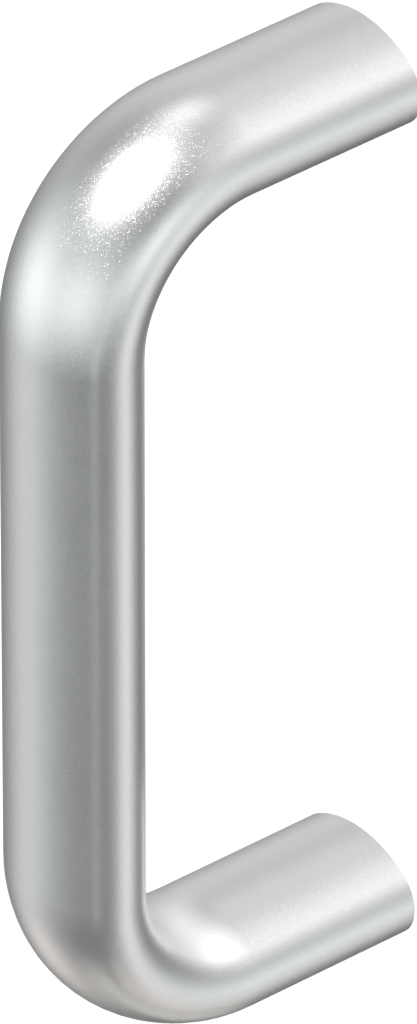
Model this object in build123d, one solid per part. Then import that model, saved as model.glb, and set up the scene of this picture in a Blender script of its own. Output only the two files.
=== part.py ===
from build123d import *
import math
import os

# Bow handle for a cabinet door or drawer: one bent oval bar of aluminium, in millimetres.
#
# +Z runs up the grip and +Y runs along the legs into the door. The legs' flat ends stand on the
# door at Y = 0, with the origin midway between the two screw holes. The fingers go in from either
# side, along X, between the grip and the door.

os.makedirs("parts", exist_ok=True)

# Oval bar
BAR_WIDTH = 20.0
BAR_THICKNESS = 13.0
NARROW_SIDE_RADIUS = 5.0

# Bent form
HOLE_SPACING = 112.0
HEIGHT_OFF_DOOR = 49.0
INSIDE_BEND_RADIUS = 13.0

# Ends of the legs, tapped M6
END_EDGE_BREAK = 0.1
TAP_DRILL_DIAMETER = 5.0
HOLE_MOUTH_DIAMETER = 6.3
HOLE_MOUTH_ANGLE = 120.0
THREADED_DEPTH = 12.0
THREAD_RUNOUT = 2.0
DRILL_POINT_ANGLE = 118.0

half_width = BAR_WIDTH / 2
half_thickness = BAR_THICKNESS / 2
grip_y = half_thickness - HEIGHT_OFF_DOOR
leg_z = HOLE_SPACING / 2
bend_radius = INSIDE_BEND_RADIUS + half_thickness

# The two broad sides of the oval are flat arcs that run smoothly into the narrow ones.
narrow_centre = half_width - NARROW_SIDE_RADIUS
broad_radius = (narrow_centre**2 + half_thickness**2 - NARROW_SIDE_RADIUS**2) / (
    2 * (half_thickness - NARROW_SIDE_RADIUS)
)
broad_centre = broad_radius - half_thickness
lean = math.atan2(broad_centre, narrow_centre)
join_x = narrow_centre + NARROW_SIDE_RADIUS * math.cos(lean)
join_y = NARROW_SIDE_RADIUS * math.sin(lean)


def oval():
    """Outline of the bar's section, its width along x and its thickness along y."""
    with BuildLine() as outline:
        ThreePointArc((join_x, -join_y), (half_width, 0), (join_x, join_y))
        ThreePointArc((join_x, join_y), (0, half_thickness), (-join_x, join_y))
        ThreePointArc((-join_x, join_y), (-half_width, 0), (-join_x, -join_y))
        ThreePointArc((-join_x, -join_y), (0, -half_thickness), (join_x, -join_y))
    return outline.wires()[0]


with BuildPart() as handle:
    # The straight bar, bent twice round the same former
    with BuildLine() as centreline:
        FilletPolyline(
            (0, 0, leg_z),
            (0, grip_y, leg_z),
            (0, grip_y, -leg_z),
            (0, 0, -leg_z),
            radius=bend_radius,
        )
    with BuildSketch(Plane(origin=(0, 0, leg_z), x_dir=(1, 0, 0), z_dir=(0, -1, 0))):
        add(oval())
        make_face()
    sweep(path=centreline.wires()[0])

    # The sawn ends are only just broken at the edge
    ends = handle.faces().filter_by(Plane.XZ).filter_by_position(Axis.Y, -0.01, 0.01)
    chamfer(ends.edges(), END_EDGE_BREAK)

    # One blind screw hole up each leg, drawn as its half section and turned about its axis
    drill_radius = TAP_DRILL_DIAMETER / 2
    mouth_radius = HOLE_MOUTH_DIAMETER / 2
    mouth = (mouth_radius - drill_radius) / math.tan(math.radians(HOLE_MOUTH_ANGLE / 2))
    drilled = THREADED_DEPTH + THREAD_RUNOUT
    point = drill_radius / math.tan(math.radians(DRILL_POINT_ANGLE / 2))
    for z in (leg_z, -leg_z):
        with BuildSketch(Plane(origin=(0, 0, z), x_dir=(1, 0, 0), z_dir=(0, 0, 1))):
            with BuildLine():
                Polyline(
                    (0, 0),
                    (mouth_radius, 0),
                    (drill_radius, -mouth),
                    (drill_radius, -drilled),
                    (0, -drilled - point),
                    close=True,
                )
            make_face()
        revolve(axis=Axis((0, 0, z), (0, 1, 0)), mode=Mode.SUBTRACT)

handle.part.label = "handle"
export_step(handle.part, "parts/handle.step")
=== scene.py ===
"""Looks for the bow handle: fine blasted, anodised aluminium in soft studio light.

Everything is in metres, in the part's own frame. Directions are given as an azimuth, 0 in front of
the handle and 90 on its right-hand side, and an elevation above the horizon, both in degrees.
"""

import math

import bmesh
import bpy
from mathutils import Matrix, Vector


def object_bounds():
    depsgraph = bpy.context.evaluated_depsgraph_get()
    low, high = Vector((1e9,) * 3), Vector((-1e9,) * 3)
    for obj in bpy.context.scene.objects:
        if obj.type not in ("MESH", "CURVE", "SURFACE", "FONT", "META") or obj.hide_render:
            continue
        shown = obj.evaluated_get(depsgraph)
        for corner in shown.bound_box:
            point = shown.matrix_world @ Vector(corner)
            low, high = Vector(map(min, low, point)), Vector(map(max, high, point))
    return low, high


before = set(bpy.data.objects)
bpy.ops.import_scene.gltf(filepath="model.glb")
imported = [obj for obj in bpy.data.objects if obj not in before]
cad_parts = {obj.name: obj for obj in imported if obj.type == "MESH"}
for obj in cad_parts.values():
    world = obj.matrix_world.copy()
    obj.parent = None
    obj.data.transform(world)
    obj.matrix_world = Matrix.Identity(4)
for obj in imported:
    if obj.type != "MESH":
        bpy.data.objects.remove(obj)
cad_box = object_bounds()
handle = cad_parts["handle"]

# The bar: its oval section, and the middle line that it is bent along
HALF_WIDTH = cad_box[1][0]
HALF_THICKNESS = 0.0065
NARROW_RADIUS = 0.005
BEND_RADIUS = 0.0195
GRIP_Y = cad_box[0][1] + HALF_THICKNESS
LEG_Z = cad_box[1][2] - HALF_THICKNESS

# The centres of the oval's arcs, and where the broad arcs run into the narrow ones
NARROW_CENTRE = HALF_WIDTH - NARROW_RADIUS
BROAD_RADIUS = (NARROW_CENTRE**2 + HALF_THICKNESS**2 - NARROW_RADIUS**2) / (
    2 * (HALF_THICKNESS - NARROW_RADIUS)
)
BROAD_CENTRE = BROAD_RADIUS - HALF_THICKNESS
ARC_JOIN = NARROW_CENTRE * BROAD_RADIUS / (BROAD_RADIUS - NARROW_RADIUS)

# The legs' ends: their broken edges and the threads in their holes
EDGE_BREAK = 0.0001
THREADED_DEPTH = 0.012
THREAD_PITCH = 0.001
THREAD_HEIGHT = 0.00054
# How far from the middle line a point may lie in a hole, or on a hole's threaded wall, and how
# close behind a leg's end a point still counts as on it
HOLE_REACH = 0.005
WALL_REACH = 0.0026
END_MARGIN = 0.00001

# Camera: the photo's viewing angle, from far off with a long lens, as the photo is nearly parallel
CAMERA_AZIMUTH = 50.6
CAMERA_ELEVATION = 34.55
SENSOR_MM = 36.0
LENS_MM = 660.0
CAMERA_DISTANCE = 2.121
AIM_RIGHT = 0.0153
AIM_UP = 0.0109
CLIP_START = 0.1
CLIP_END = 20.0

# Finish: blasted metal, which shines softly, with a share of steeper and smoother facets among the
# blasting marks, which sparkle round the highlights. Each mark leans its own way, the lean given
# as a share of the normal's length.
METAL = (0.845,) * 3
METAL_ROUGHNESS = 0.33
METAL_LEAN = 0.05
FACET_SHARE = 0.09
FACET_ROUGHNESS = 0.20
FACET_LEAN = 0.58
BLAST_MARK = 0.00008
# Faint cloudiness of the finish: its size and finer steps, and how far it takes the metal's colour
# and roughness
CLOUD_SIZE = 0.008
CLOUD_DETAIL = 3.0
CLOUD_SHADE = 0.02
CLOUD_ROUGHNESS = 0.02
# Saw marks on the cut ends: arcs of the blade's radius, from a blade centred beside the handle
SAW_CENTRE = (0.16, 0.0, 0.0)
SAW_MARK = 0.0004
SAW_DEPTH = 0.000008

# Tints of the studio's lamps and cards
NEUTRAL = (0.99, 1.01, 0.99)
COOL = (0.96, 1.01, 1.02)
WARM = (1.05, 0.99, 0.95)
# Each lamp or card: azimuth, elevation and spread in degrees, strength, tint
STUDIO = {
    "key lamp, high in front": (-22, 63, 6, 32.0, NEUTRAL),
    "small lamp, high on the left": (-120, 60, 8, 1.8, NEUTRAL),
    "front card, left": (-45, -5, 20, 1.3, COOL),
    "front card, right": (5, 5, 16, 1.1, COOL),
    "small card, low in front": (36, -26, 6, 0.6, COOL),
    "corner card, right": (50, 5, 16, 0.8, COOL),
    "side card, right": (85, 5, 12, 1.2, COOL),
    "low side card, right": (120, -20, 16, 0.9, COOL),
    "side card, left": (-110, 15, 18, 0.5, NEUTRAL),
    "rear card, high on the right": (135, 45, 24, 0.9, NEUTRAL),
    "rear lamp": (175, 35, 14, 1.2, NEUTRAL),
    "rear card, left": (-155, 5, 20, 0.9, NEUTRAL),
    "small card, low behind": (-155, -25, 8, 0.7, NEUTRAL),
    "reflector on the ground, left": (-70, -55, 12, 0.8, WARM),
    "reflector on the ground, right": (120, -55, 14, 0.7, WARM),
    "reflector under the handle": (75, -65, 6, 0.6, WARM),
}
# Light that the room's walls give from all sides
ROOM = 0.12
# The white card straight behind the handle, as the camera sees it
BACKDROP_SPREAD = 4.0
BACKDROP = (1.0,) * 3

# Pale floor, well below the handle and with its middle under the handle's
FLOOR_Y = cad_box[0][1] / 2
FLOOR_Z = -0.42
FLOOR_WIDTH = 0.17
FLOOR_LENGTH = 0.38
FLOOR_COLOUR = (0.53, 0.515, 0.50)
FLOOR_ROUGHNESS = 0.8
FLOOR_SHADE = 0.04
FLOOR_CLOUD_SIZE = 0.03


def toward(azimuth, elevation):
    """Unit vector from the handle in this direction."""
    a, e = math.radians(azimuth), math.radians(elevation)
    return Vector((math.sin(a) * math.cos(e), -math.cos(a) * math.cos(e), math.sin(e)))


def feed(tree, socket, value):
    """Links a socket to another, or sets it to a plain value. None leaves it alone."""
    if isinstance(value, bpy.types.NodeSocket):
        tree.links.new(value, socket)
    elif value is not None:
        socket.default_value = value


def math_node(tree, kind, operation, values):
    node = tree.nodes.new(kind)
    node.operation = operation
    for socket, value in zip(node.inputs, values):
        feed(tree, socket, value)
    return node.outputs


def number(tree, operation, *values):
    return math_node(tree, "ShaderNodeMath", operation, values)["Value"]


def vector(tree, operation, *values):
    outputs = math_node(tree, "ShaderNodeVectorMath", operation, values)
    scalar = operation in ("DOT_PRODUCT", "LENGTH", "DISTANCE")
    return outputs["Value" if scalar else "Vector"]


def split(tree, point):
    """The point's x, y and z."""
    axes = tree.nodes.new("ShaderNodeSeparateXYZ")
    tree.links.new(point, axes.inputs[0])
    return axes.outputs


def join(tree, *values):
    """A vector from x, y and z."""
    axes = tree.nodes.new("ShaderNodeCombineXYZ")
    for socket, value in zip(axes.inputs, values):
        feed(tree, socket, value)
    return axes.outputs[0]


def clouds(tree, point, size):
    """Soft noise about 0, from -0.5 to 0.5, with clouds of this size."""
    noise = tree.nodes.new("ShaderNodeTexNoise")
    noise.inputs["Scale"].default_value = 1 / size
    noise.inputs["Detail"].default_value = CLOUD_DETAIL
    tree.links.new(point, noise.inputs["Vector"])
    return number(tree, "SUBTRACT", noise.outputs["Fac"], 0.5)


def clouded(tree, colour, cloud, amount):
    """The colour, lightened and darkened by the clouds up to this share of it."""
    shade = number(tree, "MULTIPLY_ADD", cloud, 2 * amount, 1.0)
    return vector(tree, "SCALE", colour, None, None, shade)


def make_camera():
    back = toward(CAMERA_AZIMUTH, CAMERA_ELEVATION)
    turn = (-back).to_track_quat("-Z", "Y")
    aim = Vector((0, GRIP_Y, 0))
    aim += turn @ Vector((AIM_RIGHT, AIM_UP, 0))
    data = bpy.data.cameras.new("camera")
    data.lens = LENS_MM
    data.sensor_width = SENSOR_MM
    data.clip_start, data.clip_end = CLIP_START, CLIP_END
    cam = bpy.data.objects.new("camera", data)
    bpy.context.scene.collection.objects.link(cam)
    cam.rotation_mode = "QUATERNION"
    cam.rotation_quaternion = turn
    cam.location = aim + back * CAMERA_DISTANCE
    bpy.context.scene.camera = cam


def make_world():
    """Each lamp is a soft round glow in the surroundings, which falls off with the angle from its
    centre as strength times exp((cos(angle) - 1) / spread^2).
    """
    world = bpy.data.worlds.new("studio")
    bpy.context.scene.world = world
    world.use_nodes = True
    tree = world.node_tree
    where = tree.nodes.new("ShaderNodeTexCoord").outputs["Generated"]
    card = toward(CAMERA_AZIMUTH + 180, -CAMERA_ELEVATION)
    glows = [(card, BACKDROP_SPREAD, BACKDROP)]
    for azimuth, elevation, spread, strength, tint in STUDIO.values():
        glows.append((toward(azimuth, elevation), spread, [strength * t for t in tint]))
    total = (ROOM,) * 3
    for direction, spread, colour in glows:
        sharpness = 1 / math.radians(spread) ** 2
        cosine = vector(tree, "DOT_PRODUCT", where, direction)
        fall = number(tree, "MULTIPLY_ADD", cosine, sharpness, -sharpness)
        glow = number(tree, "EXPONENT", fall)
        total = vector(tree, "MULTIPLY_ADD", glow, colour, total)
    tree.links.new(total, tree.nodes["Background"].inputs["Color"])


def make_floor():
    mesh = bpy.data.meshes.new("floor")
    bm = bmesh.new()
    bmesh.ops.create_grid(bm, x_segments=1, y_segments=1, size=0.5)
    bmesh.ops.scale(bm, vec=(FLOOR_WIDTH, FLOOR_LENGTH, 1), verts=bm.verts)
    bm.to_mesh(mesh)
    bm.free()
    floor = bpy.data.objects.new("floor", mesh)
    bpy.context.scene.collection.objects.link(floor)
    floor.location = (0, FLOOR_Y, FLOOR_Z)
    mat = bpy.data.materials.new("floor")
    mat.use_nodes = True
    tree = mat.node_tree
    shader = tree.nodes["Principled BSDF"]
    point = tree.nodes.new("ShaderNodeTexCoord").outputs["Object"]
    colour = clouded(tree, FLOOR_COLOUR, clouds(tree, point, FLOOR_CLOUD_SIZE), FLOOR_SHADE)
    tree.links.new(colour, shader.inputs["Base Color"])
    shader.inputs["Roughness"].default_value = FLOOR_ROUGHNESS
    mesh.materials.append(mat)


def bar_normal(tree, point, other):
    """The bar's own exact normal, so that no seam between its arcs shows, and the other normal on
    the cut ends and in the holes.

    The middle line keeps BEND_RADIUS from a rectangle, so the way out from that rectangle is the
    way across the bar's thickness. The oval's arcs then give the normal, each from its own centre.
    """
    x, y, z = split(tree, point)
    beyond_y = number(tree, "MINIMUM", number(tree, "SUBTRACT", y, GRIP_Y + BEND_RADIUS), 0.0)
    beyond_z = number(tree, "SUBTRACT", number(tree, "ABSOLUTE", z), LEG_Z - BEND_RADIUS)
    beyond_z = number(tree, "MAXIMUM", beyond_z, 0.0)
    beyond_z = number(tree, "MULTIPLY", beyond_z, number(tree, "SIGN", z))
    beyond = join(tree, 0.0, beyond_y, beyond_z)
    offset = number(tree, "SUBTRACT", vector(tree, "LENGTH", beyond), BEND_RADIUS)
    broad = number(tree, "LESS_THAN", number(tree, "ABSOLUTE", x), ARC_JOIN)
    narrow = number(tree, "SUBTRACT", 1.0, broad)
    centre_x = number(tree, "MULTIPLY", number(tree, "SIGN", x), NARROW_CENTRE)
    across = number(tree, "SUBTRACT", x, number(tree, "MULTIPLY", centre_x, narrow))
    depth = number(tree, "MULTIPLY", number(tree, "SIGN", offset), BROAD_CENTRE)
    through = number(tree, "MULTIPLY_ADD", depth, broad, offset)
    outward = vector(tree, "SCALE", vector(tree, "NORMALIZE", beyond), None, None, through)
    exact = vector(tree, "ADD", outward, join(tree, across, 0.0, 0.0))
    world = tree.nodes.new("ShaderNodeVectorTransform")
    world.vector_type = "NORMAL"
    world.convert_from, world.convert_to = "OBJECT", "WORLD"
    tree.links.new(vector(tree, "NORMALIZE", exact), world.inputs[0])
    from_middle = number(tree, "MULTIPLY_ADD", x, x, number(tree, "MULTIPLY", offset, offset))
    off_hole = number(tree, "GREATER_THAN", from_middle, HOLE_REACH**2)
    off_end = number(tree, "LESS_THAN", y, -EDGE_BREAK - END_MARGIN)
    mix = tree.nodes.new("ShaderNodeMix")
    mix.data_type = "VECTOR"
    tree.links.new(number(tree, "MULTIPLY", off_hole, off_end), mix.inputs["Factor"])
    # The node has a pair of inputs for each kind of data, and only the vectors' pair is enabled
    a, b = (s for s in mix.inputs if s.enabled and s.name in "AB")
    tree.links.new(other, a)
    tree.links.new(world.outputs[0], b)
    return next(s for s in mix.outputs if s.enabled)


def leaning(tree, normal, spots, amount):
    """The normal, leant by the spots' random colours."""
    lean = vector(tree, "MULTIPLY_ADD", spots, (amount,) * 3, (-amount / 2,) * 3)
    return vector(tree, "NORMALIZE", vector(tree, "ADD", normal, lean))


def thread_height(tree, point):
    """Height of the screw thread on the holes' walls, from 0 to 1, and 0 elsewhere."""
    x, y, z = split(tree, point)
    centre_z = number(tree, "MULTIPLY", number(tree, "SIGN", z), LEG_Z)
    aside = number(tree, "SUBTRACT", z, centre_z)
    turn = number(tree, "DIVIDE", number(tree, "ARCTAN2", x, aside), 2 * math.pi)
    along = number(tree, "SUBTRACT", number(tree, "DIVIDE", y, THREAD_PITCH), turn)
    flanks = number(tree, "PINGPONG", along, 0.5)
    from_axis = number(tree, "MULTIPLY_ADD", x, x, number(tree, "MULTIPLY", aside, aside))
    on_wall = number(tree, "LESS_THAN", from_axis, WALL_REACH**2)
    in_depth = number(tree, "GREATER_THAN", y, -THREADED_DEPTH)
    threaded = number(tree, "MULTIPLY", on_wall, in_depth)
    return number(tree, "MULTIPLY", number(tree, "MULTIPLY", flanks, 2.0), threaded)


def saw_height(tree, point):
    """Height of the saw marks on the cut ends, from 0 to 1, and 0 elsewhere."""
    marks = tree.nodes.new("ShaderNodeTexNoise")
    marks.noise_dimensions = "1D"
    marks.inputs["Scale"].default_value = 1 / SAW_MARK
    tree.links.new(vector(tree, "DISTANCE", point, SAW_CENTRE), marks.inputs["W"])
    on_end = number(tree, "GREATER_THAN", split(tree, point)["Y"], -END_MARGIN)
    return number(tree, "MULTIPLY", marks.outputs["Fac"], on_end)


def relief(tree, point):
    """The surface's normal, bent by the thread and the saw marks."""
    thread = number(tree, "MULTIPLY", thread_height(tree, point), THREAD_HEIGHT)
    height = number(tree, "MULTIPLY_ADD", saw_height(tree, point), SAW_DEPTH, thread)
    bump = tree.nodes.new("ShaderNodeBump")
    bump.inputs["Distance"].default_value = 1.0
    tree.links.new(height, bump.inputs["Height"])
    return bump.outputs["Normal"]


def metal_shader(tree, colour, roughness, normal):
    shader = tree.nodes.new("ShaderNodeBsdfPrincipled")
    shader.distribution = "GGX"
    shader.inputs["Metallic"].default_value = 1.0
    feed(tree, shader.inputs["Base Color"], colour)
    feed(tree, shader.inputs["Roughness"], roughness)
    feed(tree, shader.inputs["Normal"], normal)
    return shader.outputs[0]


def make_finish():
    mat = bpy.data.materials.new("blasted anodised aluminium")
    mat.use_nodes = True
    tree = mat.node_tree
    tree.nodes.remove(tree.nodes["Principled BSDF"])
    point = tree.nodes.new("ShaderNodeTexCoord").outputs["Object"]
    normal = bar_normal(tree, point, relief(tree, point))
    marks = tree.nodes.new("ShaderNodeTexVoronoi")
    marks.inputs["Scale"].default_value = 1 / BLAST_MARK
    tree.links.new(point, marks.inputs["Vector"])
    spots = marks.outputs["Color"]
    cloud = clouds(tree, point, CLOUD_SIZE)
    colour = clouded(tree, METAL, cloud, CLOUD_SHADE)
    rough = number(tree, "MULTIPLY_ADD", cloud, 2 * CLOUD_ROUGHNESS, METAL_ROUGHNESS)
    both = tree.nodes.new("ShaderNodeMixShader")
    soft = metal_shader(tree, colour, rough, leaning(tree, normal, spots, METAL_LEAN))
    facets = metal_shader(tree, colour, FACET_ROUGHNESS, leaning(tree, normal, spots, FACET_LEAN))
    for socket, value in zip(both.inputs, (FACET_SHARE, soft, facets)):
        feed(tree, socket, value)
    tree.links.new(both.outputs[0], tree.nodes["Material Output"].inputs["Surface"])
    handle.data.materials.clear()
    handle.data.materials.append(mat)


bpy.context.scene.view_settings.view_transform = "Standard"
make_camera()
make_world()
make_floor()
make_finish()
